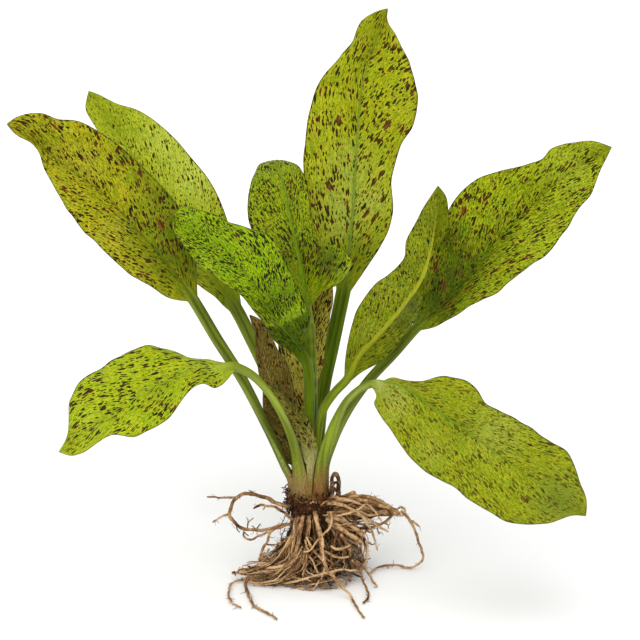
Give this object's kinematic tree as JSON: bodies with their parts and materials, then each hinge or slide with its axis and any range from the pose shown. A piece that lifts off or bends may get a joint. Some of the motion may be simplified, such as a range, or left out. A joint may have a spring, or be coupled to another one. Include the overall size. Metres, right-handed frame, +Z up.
{
  "type": "echinodorus plant",
  "caption": "Bare-rooted sword plant for an aquarium: spotted broad leaves on long stalks rise from a short crown over a spreading mat of roots.",
  "frame": {"origin": "on the surface the plant rests on, under the middle of its root mat", "axes": "+Z up, +X to the right and -Y towards the viewer as the picture shows the plant"},
  "size_m": [0.2433, 0.143, 0.2204],
  "materials": {
    "leaf_green": "satin living leaf, yellow-green with dark dashes and red-brown spots",
    "young_leaf_brown": "satin young leaf, olive brown with dark spots",
    "young_leaf_yellow": "satin young leaf, yellow-green with dark dashes",
    "crown": "matt, fibrous, dark brown",
    "root": "matt, tan brown, finely hairy"
  },
  "bodies": {
    "root": {"leaf_far_left": "leaf_green", "leaf_upper_left": "leaf_green", "leaf_inner_left": "leaf_green", "leaf_centre": "leaf_green", "leaf_tall": "leaf_green", "leaf_low_left": "leaf_green", "leaf_upright_right": "leaf_green", "leaf_far_right": "leaf_green", "leaf_low_right": "leaf_green", "leaf_young_brown": "young_leaf_brown", "leaf_young_yellow": "young_leaf_yellow", "leaf_young_spotted": "young_leaf_brown", "crown": "crown", "root_mat": "root", "root_sheaf_right": "root", "root_sheaf_left": "root", "root_left_loop": "root", "root_left_twig_high": "root", "root_left_twig_low": "root", "root_left_short": "root", "root_left_hanging": "root", "root_front_left_outer": "root", "root_front_left_inner": "root", "root_front_right": "root", "root_right_short_front": "root", "root_right_short_back": "root", "root_right_long": "root", "root_right_twig": "root", "root_right_knot": "root"}
  },
  "joints": []
}
